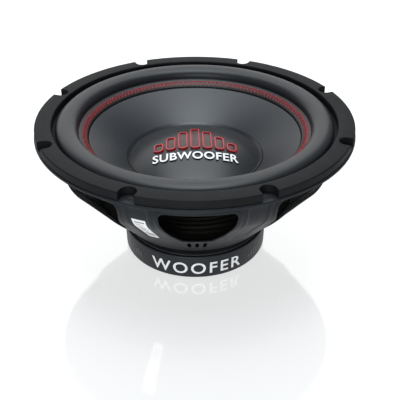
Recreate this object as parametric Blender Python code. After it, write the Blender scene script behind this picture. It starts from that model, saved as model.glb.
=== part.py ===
"""Twelve-inch car subwoofer driver, standing on its magnet boot, cone facing up.

Metres, +Z up. The origin is the centre of the boot's underside and the front of the driver faces -Y.
The cone, surround, spider, voice coil and dust cap slide along Z; the four terminal buttons push inwards.
"""

import math

import bmesh
import bpy
from mathutils import Matrix, Vector

MM = 0.001
GAP = 0.3
ROUND = 48
MEDIUM_ROUND = 32
SMALL_ROUND = 12

# Basket, in millimetres like every length below
SHEET = 1.7
FLANGE_R = 158.3
FLANGE_TOP = 138.7
FLANGE_SHEET = 1.5
LIP_DROP = 2.6
WALL_R = 139.5
BASE_R = 77.2
BASE_Z = 36.5
CONE_CORNER_Z = 105.4
BOWL_RADIUS = 40.0
LEAN = math.atan2(WALL_R - BASE_R, CONE_CORNER_Z - BASE_Z)
FLOOR_BORE_R = 34.0
LEDGE_R = 91.0
LEDGE_Z = 65.4
LEDGE_SHEET = 1.5
SPOKES = 8
WINDOW_RIGHT = (
    (9.6, 70.2),
    (13.4, 71.0),
    (16.1, 73.6),
    (24.3, 84.6),
    (33.8, 107.0),
    (34.8, 116.6),
    (33.9, 119.3),
    (31.2, 120.3),
)
VENT_PITCH_DEG = 4.5
VENT_WIDTH = 3.6
VENT_Z = (50.2, 63.0)
SCREW_R = 150.8
SCREW_HOLE_R = 3.2

# Gasket and surround
GASKET_R = 157.2
GASKET_BORE_R = 141.0
GASKET_TOP = 147.0
NOTCH_R = 151.8
NOTCH_HALF = 7.4
LAND_R = 143.5
FOAM = 0.8
ROLL_R = 126.7
ROLL_HALF_WIDTH = 10.8
ROLL_HEIGHT = 8.4
ROLL_BASE = (139.8, 136.3)
ROLL_SQUARENESS = 0.77
LIP_R = 106.8

# Cone, dust cap, former and windings
CONE_SLOPE = 0.688
CONE_MARK = (69.3, 104.0)
CONE_R = 113.5
CONE_SHEET = 1.4
COLLAR_Z = 70.5
CAP_R = 69.3
CAP_EDGE_R = 66.3
CAP_RISE = 15.0
CAP_SHEET = 1.2
DOME_RINGS = 5
FORMER_R = (25.3, 25.8)
FORMER_Z = (22.5, 79.0)
COIL_Z = (23.5, 41.0)
COIL_SHEET = 0.6
SPIDER_R = 100.5
SPIDER_WAVES = 4
SPIDER_WAVE_R = (32.0, 90.0)
SPIDER_WAVE_HEIGHT = 2.2

# Motor
BOOT_R = 75.7
BOOT_FOOT_R = 75.0
BOOT_ROUNDING = 3.0
BOOT_TOP = 27.2
BOOT_SHEET = 2.5
BOOT_BORE_R = 50.0
BOOT_FLOOR = 1.7
YOKE_R = 66.0
YOKE_Z = (2.0, 9.5)
POLE_R = 24.4
POLE_TOP = 36.2
POLE_BORE_R = 9.0
MAGNET_R = 72.6
MAGNET_BORE_R = 32.0
MAGNET_Z = (9.8, 27.9)
PLATE_R = 66.0
PLATE_BORE_R = 28.4
PLATE_Z = (28.2, 36.2)
RIVET_CIRCLE_R = 52.0
RIVETS = 4
RIVET_HOLE_R = 2.9

# Push terminals, in a frame whose X runs round the basket, Y up its spoke and Z out of it
TERMINAL_SPOKES_DEG = (157.5, -157.5)
TERMINAL_Z = 80.0
TERMINAL_STAND_OFF = 1.8
HOUSING = (40.0, 19.0, 13.0)
EAR_X = 17.3
BUTTON_X = 8.2
POCKET = (12.0, 9.0, 10.5)
BUTTON = (11.0, 8.0, 9.0)
BUTTON_PROUD = 4.5
WIRE_HOLE_R = 1.7
SPRING_R = 2.4
SPRING_WIRE_R = 0.3
SPRING_TURNS = 3
TAG = (5.0, 0.8, 9.0)
EAR_HOLE_R = 1.9
APERTURE = (26.0, 8.0)

# Tinsel leads, as (radius, height) points after the solder tag
LEAD_R = 0.9
LEAD_ROUTE = ((88.0, 80.5), (72.0, 77.0), (56.0, 79.5), (42.0, 80.5), (34.5, 76.8))

# Data label on the front left spoke
LABEL_DEG = (-25.3, -19.7)
LABEL_Z = (67.5, 108.0)


def clear_scene():
    for item in list(bpy.data.objects):
        bpy.data.objects.remove(item, do_unlink=True)


def make_material(name, colour, roughness, metallic=0.0):
    material = bpy.data.materials.new(name)
    material.use_nodes = True
    shader = material.node_tree.nodes["Principled BSDF"]
    shader.inputs["Base Color"].default_value = (*colour, 1.0)
    shader.inputs["Roughness"].default_value = roughness
    shader.inputs["Metallic"].default_value = metallic
    material.diffuse_color = (*colour, 1.0)
    return material


def object_from(bm, name, material=None):
    """The bmesh, drawn in millimetres, as a named object in metres with smooth round faces."""
    bmesh.ops.remove_doubles(bm, verts=bm.verts, dist=1e-4)
    bmesh.ops.recalc_face_normals(bm, faces=bm.faces)
    bmesh.ops.scale(bm, vec=Vector((MM, MM, MM)), verts=bm.verts)
    mesh = bpy.data.meshes.new(name)
    bm.to_mesh(mesh)
    bm.free()
    mesh.shade_smooth()
    mesh.set_sharp_from_angle(angle=math.radians(35))
    if material:
        mesh.materials.append(material)
    item = bpy.data.objects.new(name, mesh)
    bpy.context.scene.collection.objects.link(item)
    return item


def spin_outline(bm, outline, steps, angle=2 * math.pi, start=0.0):
    """Turns a closed outline of (radius, height) points about Z, from the azimuth start, with -Y as zero."""
    ring = [bm.verts.new((r * math.sin(start), -r * math.cos(start), z)) for r, z in outline]
    edges = [bm.edges.new((a, b)) for a, b in zip(ring, ring[1:] + ring[:1])]
    whole = abs(angle - 2 * math.pi) < 1e-9
    made = bmesh.ops.spin(
        bm, geom=ring + edges, cent=(0, 0, 0), axis=(0, 0, 1), angle=angle, steps=steps, use_merge=whole
    )
    if not whole:
        last = [item for item in made["geom_last"] if isinstance(item, bmesh.types.BMEdge)]
        bmesh.ops.contextual_create(bm, geom=edges)
        bmesh.ops.contextual_create(bm, geom=last)


def turned(name, outline, material, steps=ROUND):
    bm = bmesh.new()
    spin_outline(bm, outline, steps)
    return object_from(bm, name, material)


def add_prism(bm, outline, low, high, frame):
    """A flat outline of (x, y) points extruded from low to high along the frame's Z."""
    base = [bm.verts.new(frame @ Vector((x, y, low))) for x, y in outline]
    face = bm.faces.new(base)
    made = bmesh.ops.extrude_face_region(bm, geom=[face])
    moved = [item for item in made["geom"] if isinstance(item, bmesh.types.BMVert)]
    step = (frame.to_3x3() @ Vector((0, 0, 1))) * (high - low)
    bmesh.ops.translate(bm, vec=step, verts=moved)


def rectangle(width, height):
    x, y = width / 2, height / 2
    return [(-x, -y), (x, -y), (x, y), (-x, y)]


def circle(radius, steps=SMALL_ROUND, centre=(0.0, 0.0)):
    turns = [2 * math.pi * (i + 0.5) / steps for i in range(steps)]
    return [(centre[0] + radius * math.cos(a), centre[1] + radius * math.sin(a)) for a in turns]


def rounded_rectangle(width, height, radius, steps=3):
    points = []
    for corner, (sx, sy) in enumerate(((1, 1), (-1, 1), (-1, -1), (1, -1))):
        cx, cy = sx * (width / 2 - radius), sy * (height / 2 - radius)
        for i in range(steps + 1):
            a = math.pi / 2 * (corner + i / steps)
            points.append((cx + radius * math.cos(a), cy + radius * math.sin(a)))
    return points


def cutter(name, bm):
    item = object_from(bm, name)
    item.hide_render = True
    item.display_type = "WIRE"
    return item


def cut(item, tool):
    modifier = item.modifiers.new(tool.name, "BOOLEAN")
    modifier.operation = "DIFFERENCE"
    modifier.solver = "EXACT"
    modifier.object = tool


def at_azimuth(degrees):
    """Frame turned about Z, so that its -Y axis points to that azimuth from the front."""
    return Matrix.Rotation(math.radians(degrees), 4, "Z")


def bowl_line(offset):
    """(radius, height) points down the basket's wall, from the flange to the floor, offset inwards."""
    centre_r = WALL_R - BOWL_RADIUS
    centre_z = CONE_CORNER_Z + BOWL_RADIUS * math.tan(LEAN / 2)
    reach = BOWL_RADIUS - offset
    points = []
    for i in range(4):
        a = LEAN * i / 3
        points.append((centre_r + reach * math.cos(a), centre_z - reach * math.sin(a)))
    return points


def wall_r(z, offset=0.0):
    """Radius of the conical stretch of the basket's wall at a height."""
    return BASE_R + (z - BASE_Z) * math.tan(LEAN) - offset / math.cos(LEAN)


def outer_r(z):
    """Radius of the basket's outside at a height, over its cone and its bowl."""
    points = [(BASE_R, BASE_Z), *reversed(bowl_line(0.0))]
    for (r0, z0), (r1, z1) in zip(points, points[1:]):
        if z <= z1:
            return r0 + (r1 - r0) * (z - z0) / (z1 - z0)
    return WALL_R


def window_outline():
    """Bowl shape, wide and nearly straight at the top: (across, up) points, counter-clockwise."""
    return [*WINDOW_RIGHT, *((-x, z) for x, z in reversed(WINDOW_RIGHT))]


def upright():
    """Frame whose X runs across, Y up and Z towards -Y."""
    return Matrix(((1, 0, 0, 0), (0, 0, -1, 0), (0, 1, 0, 0), (0, 0, 0, 1)))


def standing(degrees):
    """Frame whose X runs round the driver, Y up and Z outwards, at an azimuth from the front."""
    return at_azimuth(degrees) @ upright()


def terminal_frame(degrees):
    """Frame on the outside of a spoke: X round the driver, Y up the spoke and Z out of it."""
    place = Matrix.Translation(Vector((0, -wall_r(TERMINAL_Z), TERMINAL_Z)))
    return at_azimuth(degrees) @ place @ upright() @ Matrix.Rotation(LEAN, 4, "X")


def make_basket(steel):
    inner = bowl_line(SHEET)
    outer = bowl_line(0.0)
    under = FLANGE_TOP - FLANGE_SHEET
    outline = [
        (FLANGE_R - 0.7, FLANGE_TOP),
        (WALL_R + 0.4, FLANGE_TOP),
        (WALL_R - SHEET, FLANGE_TOP - 2.0),
        *inner,
        (wall_r(LEDGE_Z, SHEET), LEDGE_Z),
        (LEDGE_R, LEDGE_Z),
        (LEDGE_R, LEDGE_Z - LEDGE_SHEET),
        (wall_r(LEDGE_Z - LEDGE_SHEET, SHEET), LEDGE_Z - LEDGE_SHEET),
        (wall_r(BASE_Z + SHEET, SHEET), BASE_Z + SHEET),
        (FLOOR_BORE_R, BASE_Z + SHEET),
        (FLOOR_BORE_R, BASE_Z),
        (BASE_R - 1.0, BASE_Z),
        (wall_r(BASE_Z + 1.4), BASE_Z + 1.4),
        *reversed(outer),
        (WALL_R, under - 1.0),
        (WALL_R + 1.0, under),
        (FLANGE_R - FLANGE_SHEET, under),
        (FLANGE_R - FLANGE_SHEET, FLANGE_TOP - LIP_DROP),
        (FLANGE_R, FLANGE_TOP - LIP_DROP),
        (FLANGE_R, FLANGE_TOP - 0.7),
    ]
    basket = turned("basket", outline, steel)
    windows, vents, holes = bmesh.new(), bmesh.new(), bmesh.new()
    for i in range(SPOKES):
        degrees = 360 / SPOKES * i
        add_prism(windows, window_outline(), 70.0, WALL_R + 6, standing(degrees))
        for side in (-1, 0, 1):
            frame = standing(degrees + side * VENT_PITCH_DEG)
            middle = (VENT_Z[0] + VENT_Z[1]) / 2
            slot = [(x, y + middle) for x, y in rectangle(VENT_WIDTH, VENT_Z[1] - VENT_Z[0])]
            add_prism(vents, slot, wall_r(VENT_Z[0], SHEET) - 6, wall_r(VENT_Z[1]) + 6, frame)
        hole = circle(SCREW_HOLE_R, centre=(0.0, -SCREW_R))
        add_prism(holes, hole, under - 5, FLANGE_TOP + 5, at_azimuth(degrees + 180 / SPOKES))
    for i in range(RIVETS):
        hole = circle(RIVET_HOLE_R, centre=(0.0, -RIVET_CIRCLE_R))
        add_prism(holes, hole, BASE_Z - 3, BASE_Z + 5, at_azimuth(45 + 360 / RIVETS * i))
    for degrees in TERMINAL_SPOKES_DEG:
        frame = terminal_frame(degrees)
        add_prism(holes, rectangle(*APERTURE), -6, 6, frame)
        for side in (-1, 1):
            add_prism(holes, circle(EAR_HOLE_R, centre=(side * EAR_X, 0.0)), -6, 6, frame)
    cut(basket, cutter("window_cutter", windows))
    cut(basket, cutter("vent_cutter", vents))
    cut(basket, cutter("hole_cutter", holes))


def make_gasket(foam):
    bottom = FLANGE_TOP + GAP
    rebate = bottom + FOAM + GAP
    outline = [
        (GASKET_R, bottom),
        (GASKET_R, GASKET_TOP - 1.0),
        (GASKET_R - 1.0, GASKET_TOP),
        (GASKET_BORE_R + 0.8, GASKET_TOP),
        (GASKET_BORE_R, GASKET_TOP - 0.8),
        (GASKET_BORE_R, rebate),
        (LAND_R + GAP, rebate),
        (LAND_R + GAP, bottom),
    ]
    gasket = turned("mounting_gasket", outline, foam)
    notches = bmesh.new()
    turns = [math.pi * i / 8 for i in range(9)]
    arc = [(NOTCH_HALF * math.cos(a), NOTCH_HALF * math.sin(a) - NOTCH_R) for a in turns]
    notch = arc + [(-NOTCH_HALF, -GASKET_R - 5), (NOTCH_HALF, -GASKET_R - 5)]
    for i in range(SPOKES):
        frame = at_azimuth(360 / SPOKES * (i + 0.5))
        add_prism(notches, notch, bottom - 5, GASKET_TOP + 5, frame)
    cut(gasket, cutter("notch_cutter", notches))


def cone_top(r):
    return CONE_MARK[1] + CONE_SLOPE * (r - CONE_MARK[0])


def roll_line(offset, steps=8):
    """Squared half-roll from its outer foot to its inner foot; the feet differ in height."""
    points = []
    for i in range(steps + 1):
        a = math.pi * i / steps
        across = math.copysign(abs(math.cos(a)) ** ROLL_SQUARENESS, math.cos(a))
        rise = abs(math.sin(a)) ** ROLL_SQUARENESS
        base = ROLL_BASE[0] + (ROLL_BASE[1] - ROLL_BASE[0]) * i / steps
        r = ROLL_R + (ROLL_HALF_WIDTH + offset) * across
        points.append((r, base + (ROLL_HEIGHT + offset) * rise))
    return points


def make_surround(foam):
    bottom = FLANGE_TOP + GAP
    lip_under = cone_top(LIP_R) + GAP
    foot_r = ROLL_R - ROLL_HALF_WIDTH + FOAM / 2
    outline = [
        (LAND_R, bottom),
        (LAND_R, bottom + FOAM),
        *roll_line(FOAM / 2),
        (LIP_R, lip_under + FOAM),
        (LIP_R, lip_under),
        (CONE_R + 1.2, cone_top(CONE_R + 1.2) + GAP),
        (foot_r, ROLL_BASE[1]),
        *reversed(roll_line(-FOAM / 2)[:-1]),
        (ROLL_R + ROLL_HALF_WIDTH - FOAM / 2, bottom),
    ]
    turned("surround", outline, foam)


def make_cone(pulp):
    outline = [
        (FORMER_R[1] + GAP, COLLAR_Z),
        (FORMER_R[1] + 1.5, COLLAR_Z),
        (FORMER_R[1] + 3.0, cone_top(FORMER_R[1] + 3.0) - CONE_SHEET),
        (CONE_R, cone_top(CONE_R) - CONE_SHEET),
        (CONE_R, cone_top(CONE_R)),
        (FORMER_R[1] + GAP, cone_top(FORMER_R[1] + GAP)),
    ]
    turned("cone", outline, pulp)


def make_dust_cap(plastic):
    """Shallow dome with a glue lip that lies on the cone."""
    edge = cone_top(CAP_EDGE_R) + GAP
    radius = (CAP_EDGE_R**2 + CAP_RISE**2) / (2 * CAP_RISE)
    half = math.asin(CAP_EDGE_R / radius)
    dome = []
    for i in range(DOME_RINGS):
        a = half * (1 - i / (DOME_RINGS - 1))
        dome.append((radius * math.sin(a), edge + CAP_RISE - radius * (1 - math.cos(a))))
    under = [(r * (1 - 0.004 * CAP_SHEET), z - CAP_SHEET) for r, z in dome[1:]]
    lip = [(CAP_R, cone_top(CAP_R) + GAP), (CAP_R, cone_top(CAP_R) + GAP + 0.5)]
    outer = lip + [(r, z + 0.6) for r, z in dome]
    bm = bmesh.new()
    rings = outer + list(reversed(under)) + [(CAP_EDGE_R - 3.0, cone_top(CAP_EDGE_R - 3.0) + GAP)]
    columns = []
    for r, z in rings:
        if r < 1e-6:
            columns.append([bm.verts.new((0, 0, z))] * ROUND)
            continue
        turns = [2 * math.pi * i / ROUND for i in range(ROUND)]
        columns.append([bm.verts.new((r * math.sin(a), -r * math.cos(a), z)) for a in turns])
    for here, after in zip(columns, columns[1:] + columns[:1]):
        for i in range(ROUND):
            corners = [here[i], here[(i + 1) % ROUND], after[(i + 1) % ROUND], after[i]]
            corners = list(dict.fromkeys(corners))
            if len(corners) > 2:
                bm.faces.new(corners)
    object_from(bm, "dust_cap", plastic)


def make_voice_coil(foil, copper):
    inner, outer = FORMER_R
    low, high = FORMER_Z
    turned("voice_coil_former", [(inner, low), (outer, low), (outer, high), (inner, high)], foil, MEDIUM_ROUND)
    low, high = COIL_Z
    for layer, name in enumerate(("voice_coil_inner", "voice_coil_outer")):
        r = outer + GAP + layer * (COIL_SHEET + GAP)
        outline = [(r, low), (r + COIL_SHEET, low), (r + COIL_SHEET, high), (r, high)]
        turned(name, outline, copper, MEDIUM_ROUND)


def make_spider(cloth):
    """Corrugated ring: a collar on the former, a zigzag of waves and a flat land on the ledge."""
    land = LEDGE_Z + GAP
    first, last = SPIDER_WAVE_R
    waves = []
    for i in range(2 * SPIDER_WAVES):
        r = first + (last - first) * (i + 0.5) / (2 * SPIDER_WAVES)
        waves.append((r, land + SPIDER_WAVE_HEIGHT * (1 if i % 2 else -1)))
    collar = FORMER_R[1] + GAP
    line = [(collar + 0.8, land), (first, land), *waves, (last + 1.5, land), (SPIDER_R, land)]
    upper = [(r, z + FOAM) for r, z in reversed(line)]
    outline = [(collar, land - 2.5), (collar + 0.8, land - 2.5), *line, *upper[:-1]]
    outline += [(collar + 0.8, land + FOAM + 0.01), (collar + 0.8, land + 2.6), (collar, land + 2.6)]
    turned("spider", outline, cloth, MEDIUM_ROUND)


def make_motor(steel, ferrite, rubber, mesh_metal):
    low, high = YOKE_Z
    yoke = [
        (POLE_BORE_R, low),
        (YOKE_R, low),
        (YOKE_R, high),
        (POLE_R, high),
        (POLE_R, POLE_TOP),
        (POLE_BORE_R + 2.0, POLE_TOP),
        (POLE_BORE_R, POLE_TOP - 2.0),
    ]
    turned("t_yoke", yoke, steel)
    low, high = MAGNET_Z
    outline = [
        (MAGNET_BORE_R, low),
        (MAGNET_R, low),
        (MAGNET_R, high - 1.0),
        (MAGNET_R - 1.0, high),
        (MAGNET_BORE_R, high),
    ]
    turned("magnet", outline, ferrite)
    low, high = PLATE_Z
    outline = [(PLATE_BORE_R, low), (PLATE_R, low), (PLATE_R, high), (PLATE_BORE_R, high)]
    plate = turned("top_plate", outline, steel)
    holes = bmesh.new()
    for i in range(RIVETS):
        hole = circle(RIVET_HOLE_R, centre=(0.0, -RIVET_CIRCLE_R))
        add_prism(holes, hole, low + 1.5, high + 4, at_azimuth(45 + 360 / RIVETS * i))
    cut(plate, cutter("plate_hole_cutter", holes))
    turns = [math.pi / 6 * i for i in range(4)]
    corner = BOOT_FOOT_R - BOOT_ROUNDING
    foot = [(corner + BOOT_ROUNDING * math.sin(a), BOOT_ROUNDING * (1 - math.cos(a))) for a in turns]
    boot = [
        (BOOT_BORE_R, 0.0),
        *foot,
        (BOOT_R, BOOT_TOP - 1.6),
        (BOOT_R - 0.5, BOOT_TOP - 0.5),
        (BOOT_R - 1.6, BOOT_TOP),
        (BOOT_R - BOOT_SHEET, BOOT_TOP),
        (BOOT_R - BOOT_SHEET, BOOT_FLOOR),
        (BOOT_BORE_R, BOOT_FLOOR),
    ]
    turned("magnet_boot", boot, rubber)
    screen = turned("vent_screen", [(1.2, 0.9), (14.0, 0.9), (14.0, 1.7), (1.2, 1.7)], mesh_metal, 16)
    holes = bmesh.new()
    for i in range(6):
        add_prism(holes, circle(1.4, 8, centre=(0.0, -5.2)), -2, 4, at_azimuth(60 * i))
    cut(screen, cutter("screen_hole_cutter", holes))


def make_plate_rivets(steel):
    outline = [(0.0, 30.2), (2.5, 30.2), (2.5, 38.5), (4.6, 38.5), (4.2, 39.8), (2.4, 40.6), (0.0, 40.6)]
    for i in range(RIVETS):
        bm = bmesh.new()
        spin_outline(bm, outline, SMALL_ROUND)
        frame = at_azimuth(45 + 360 / RIVETS * i) @ Matrix.Translation((0, -RIVET_CIRCLE_R, 0))
        bmesh.ops.transform(bm, matrix=frame, verts=bm.verts)
        object_from(bm, f"plate_rivet_{i + 1}", steel)


def make_label(paper):
    bm = bmesh.new()
    bends = [z for _, z in reversed(bowl_line(0.0)) if LABEL_Z[0] < z < LABEL_Z[1]]
    rise = [LABEL_Z[0], *bends, LABEL_Z[1]]
    under = [(outer_r(z) + GAP, z) for z in rise]
    over = [(r + 0.35, z) for r, z in under]
    start, end = (math.radians(a) for a in LABEL_DEG)
    spin_outline(bm, under + list(reversed(over)), 2, end - start, start)
    object_from(bm, "data_label", paper)


def make_terminal(side, degrees, plastics, metal):
    """One push terminal: housing, red and black button with spring and solder tag each, two rivets."""
    frame = terminal_frame(degrees)
    front = TERMINAL_STAND_OFF + HOUSING[2]
    bm = bmesh.new()
    add_prism(bm, rounded_rectangle(HOUSING[0], HOUSING[1], 3.0), TERMINAL_STAND_OFF, front, frame)
    housing = object_from(bm, f"terminal_housing_{side}", plastics["housing"])
    pockets, cross = bmesh.new(), bmesh.new()
    hole_z = front - 3.4
    across = frame @ Matrix.Rotation(math.pi / 2, 4, "X")
    for x in (-BUTTON_X, BUTTON_X):
        pocket = [(px + x, py) for px, py in rectangle(POCKET[0], POCKET[1])]
        add_prism(pockets, pocket, front - POCKET[2], front + 5, frame)
        add_prism(cross, circle(WIRE_HOLE_R, 10, centre=(x, hole_z)), -12, 12, across)
    for x in (-EAR_X, EAR_X):
        add_prism(pockets, circle(EAR_HOLE_R, centre=(x, 0.0)), -2, front + 5, frame)
    cut(housing, cutter(f"pocket_cutter_{side}", pockets))
    cut(housing, cutter(f"wire_hole_cutter_{side}", cross))
    for colour, x in (("red", -BUTTON_X), ("black", BUTTON_X)):
        make_button(f"button_{colour}_{side}", frame, x, front, plastics[colour])
        make_spring(f"button_spring_{colour}_{side}", frame, x, front, metal)
        make_tag(f"solder_tag_{colour}_{side}", frame, x, metal)
    for number, x in enumerate((-EAR_X, EAR_X)):
        bm = bmesh.new()
        outline = [(0.0, -5.4), (2.6, -5.4), (2.6, -3.6), (1.5, -3.6), (1.5, front + GAP)]
        outline += [(3.0, front + GAP), (2.4, front + 1.3), (0.0, front + 1.3)]
        spin_outline(bm, outline, SMALL_ROUND)
        place = frame @ Matrix.Translation((x, 0, 0))
        bmesh.ops.transform(bm, matrix=place, verts=bm.verts)
        object_from(bm, f"terminal_rivet_{side}_{number + 1}", metal)


def make_button(name, frame, x, front, plastic):
    """The button's own origin lies on its sliding axis, at its outer face."""
    width, height, length = BUTTON
    top = front + BUTTON_PROUD
    bm = bmesh.new()
    add_prism(bm, rounded_rectangle(width, height, 1.2, 2), -length, 0.0, Matrix.Identity(4))
    hole = Matrix.Rotation(math.pi / 2, 4, "X")
    tool = bmesh.new()
    add_prism(tool, circle(WIRE_HOLE_R, 10, centre=(0.0, -4.9)), -12, 12, hole)
    button = object_from(bm, name, plastic)
    cross = cutter(f"{name}_hole_cutter", tool)
    place = frame @ Matrix.Translation((x, 0, top))
    for item in (button, cross):
        item.location = place.to_translation() * MM
        item.rotation_euler = place.to_euler()
    cut(button, cross)


def tube(name, points, radius, material, resolution=2):
    curve = bpy.data.curves.new(name, "CURVE")
    curve.dimensions = "3D"
    curve.bevel_depth = radius * MM
    curve.bevel_resolution = resolution
    curve.use_fill_caps = True
    spline = curve.splines.new("POLY")
    spline.points.add(len(points) - 1)
    for slot, point in zip(spline.points, points):
        slot.co = (*(Vector(point) * MM), 1.0)
    curve.materials.append(material)
    item = bpy.data.objects.new(name, curve)
    bpy.context.scene.collection.objects.link(item)


def make_spring(name, frame, x, front, metal):
    low = front - POCKET[2] + SPRING_WIRE_R + GAP
    high = front + BUTTON_PROUD - BUTTON[2] - SPRING_WIRE_R - GAP
    steps = 8 * SPRING_TURNS
    points = []
    for i in range(steps + 1):
        a = 2 * math.pi * i / 8
        z = low + (high - low) * i / steps
        points.append(frame @ Vector((x + SPRING_R * math.cos(a), SPRING_R * math.sin(a), z)))
    tube(name, points, SPRING_WIRE_R, metal, 0)


def make_tag(name, frame, x, metal):
    """Foot behind the housing and a blade that reaches inside the basket."""
    width, sheet, length = TAG
    top = TERMINAL_STAND_OFF - GAP
    outline = [
        (-3.0, top),
        (-3.0, top - sheet),
        (-sheet / 2, top - sheet),
        (-sheet / 2, top - length),
        (sheet / 2, top - length),
        (sheet / 2, top - sheet),
        (3.0, top - sheet),
        (3.0, top),
    ]
    bm = bmesh.new()
    sideways = Matrix(((0, 0, 1, 0), (1, 0, 0, 0), (0, 1, 0, 0), (0, 0, 0, 1)))
    place = frame @ Matrix.Translation((x, 0, 0)) @ sideways
    add_prism(bm, outline, -width / 2, width / 2, place)
    object_from(bm, name, metal)


def smooth_line(points, steps):
    """Points of a Catmull-Rom curve through the given ones."""
    padded = [2 * points[0] - points[1], *points, 2 * points[-1] - points[-2]]
    line = []
    for a, b, c, d in zip(padded, padded[1:], padded[2:], padded[3:]):
        for i in range(steps):
            t = i / steps
            even = 2 * b + (c - a) * t + (2 * a - 5 * b + 4 * c - d) * t**2
            line.append((even + (3 * b - a - 3 * c + d) * t**3) / 2)
    return [*line, points[-1]]


def make_lead(name, degrees, x, material):
    """Braided lead from a solder tag, up over the spider, to the cone's neck."""
    start = terminal_frame(degrees) @ Vector((x, 0, TERMINAL_STAND_OFF - GAP - TAG[2] - 1.0))
    turn = math.radians(degrees) + math.atan2(x, LEDGE_R)
    route = [start]
    for r, z in LEAD_ROUTE:
        route.append(Vector((r * math.sin(turn), -r * math.cos(turn), z)))
    tube(name, smooth_line(route, 3), LEAD_R, material, 1)


def main():
    clear_scene()
    basket_steel = make_material("basket_steel", (0.075, 0.077, 0.082), 0.32, 0.35)
    gasket_foam = make_material("gasket_foam", (0.030, 0.029, 0.028), 0.62)
    surround_foam = make_material("surround_foam", (0.026, 0.026, 0.028), 0.5)
    pulp = make_material("cone_pulp", (0.030, 0.031, 0.033), 0.42)
    cap_plastic = make_material("cap_plastic", (0.028, 0.028, 0.030), 0.35)
    foil = make_material("former_aluminium", (0.60, 0.60, 0.61), 0.35, 1.0)
    copper = make_material("winding_copper", (0.62, 0.26, 0.12), 0.35, 1.0)
    cloth = make_material("spider_cloth", (0.10, 0.075, 0.035), 0.85)
    motor_steel = make_material("motor_steel", (0.05, 0.05, 0.052), 0.4, 0.6)
    ferrite = make_material("ferrite", (0.045, 0.045, 0.047), 0.55)
    rubber = make_material("boot_rubber", (0.030, 0.032, 0.033), 0.55)
    bright = make_material("bright_metal", (0.62, 0.62, 0.63), 0.3, 1.0)
    paper = make_material("label_paper", (0.82, 0.82, 0.82), 0.55)
    braid = make_material("lead_braid", (0.55, 0.42, 0.30), 0.5, 0.7)
    plastics = {
        "housing": make_material("housing_plastic", (0.025, 0.025, 0.027), 0.45),
        "red": make_material("red_plastic", (0.55, 0.03, 0.03), 0.4),
        "black": make_material("black_plastic", (0.02, 0.02, 0.02), 0.4),
    }
    make_basket(basket_steel)
    make_gasket(gasket_foam)
    make_surround(surround_foam)
    make_cone(pulp)
    make_dust_cap(cap_plastic)
    make_voice_coil(foil, copper)
    make_spider(cloth)
    make_motor(motor_steel, ferrite, rubber, bright)
    make_plate_rivets(bright)
    make_label(paper)
    for side, degrees in zip(("left", "right"), reversed(TERMINAL_SPOKES_DEG)):
        make_terminal(side, degrees, plastics, bright)
        for colour, x in (("red", -BUTTON_X), ("black", BUTTON_X)):
            make_lead(f"tinsel_lead_{colour}_{side}", degrees, x, braid)


main()
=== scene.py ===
"""Finished look of the twelve-inch car subwoofer driver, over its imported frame.

Lengths are millimetres until a mesh is made, then metres. +Z up, and the front of the driver faces -Y.
"""

import math
import random

import bmesh
import bpy
import numpy as np
from mathutils import Matrix, Vector


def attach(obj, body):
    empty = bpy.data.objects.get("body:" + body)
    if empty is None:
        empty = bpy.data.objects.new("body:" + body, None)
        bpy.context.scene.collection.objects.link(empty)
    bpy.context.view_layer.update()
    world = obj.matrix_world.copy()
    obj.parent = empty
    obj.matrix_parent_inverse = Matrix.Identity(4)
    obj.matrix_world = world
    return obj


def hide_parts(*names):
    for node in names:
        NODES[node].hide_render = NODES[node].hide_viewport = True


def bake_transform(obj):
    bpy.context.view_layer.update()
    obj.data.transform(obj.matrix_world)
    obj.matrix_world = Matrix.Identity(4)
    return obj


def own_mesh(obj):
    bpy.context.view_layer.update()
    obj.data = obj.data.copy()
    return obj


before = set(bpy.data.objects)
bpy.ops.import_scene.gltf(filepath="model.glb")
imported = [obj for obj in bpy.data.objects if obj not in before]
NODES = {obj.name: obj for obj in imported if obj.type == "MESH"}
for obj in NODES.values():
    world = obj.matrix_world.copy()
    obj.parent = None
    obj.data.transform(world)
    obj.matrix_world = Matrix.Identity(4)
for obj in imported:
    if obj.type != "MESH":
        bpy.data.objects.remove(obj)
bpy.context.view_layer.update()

MM = 0.001
STEPS = 288
FINE_STEPS = 384

# Basket wall: a cone below, an arc above it, then upright to the flange
SHEET = 1.7
BASE_R = 77.2
BASE_Z = 36.5
WALL_R = 139.5
CORNER_Z = 105.4
BOWL_RADIUS = 40.0
LEAN = math.atan2(WALL_R - BASE_R, CORNER_Z - BASE_Z)
CONE_RUN = math.hypot(WALL_R - BASE_R, CORNER_Z - BASE_Z) - BOWL_RADIUS * math.tan(LEAN / 2)
ARC_RUN = BOWL_RADIUS * LEAN
BEND_Z = CORNER_Z + BOWL_RADIUS * math.tan(LEAN / 2)
SECTORS = 8
SECTOR = 2 * math.pi / SECTORS
SECTOR_DEG = 360.0 / SECTORS
FLOOR_BORE_R = 34.0
LEDGE_R = (91.0, 102.4)
LEDGE_Z = (63.9, 65.4)

# Windows and vents: corners of a window's right half as (across, height, rounding)
WINDOW_RIGHT = ((13.9, 70.2, 7.0), (24.3, 84.6, 14.0), (33.9, 107.0, 22.0), (35.2, 120.3, 5.5))
WINDOW_MIDDLE_Z = 99.0
WINDOW_SIDE = math.radians(17.5)
PATCH_RUN = (36.0, 114.0)
RIM_WIDTH = 5.2
RIM_HEIGHT = 0.8
RIM_CREST = 2.2
EDGE_EASE = 0.45
VENT_PITCH_DEG = 4.5
VENT_WIDTH = 3.6
VENT_Z = (50.2, 63.2)

# Sunken panels of the spokes, and the label on one of them
PANEL_DEPTH = 1.1
PANEL_HALF = math.radians(4.0)
PANEL_SLOPE = 0.022
PANEL_RUN = (36.5, 111.5)
PANEL_FADE = 8.0
LABEL_DEG = (-25.3, -19.7)
LABEL_Z = (67.5, 108.0)
LABEL_SHEET = 0.22

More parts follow.
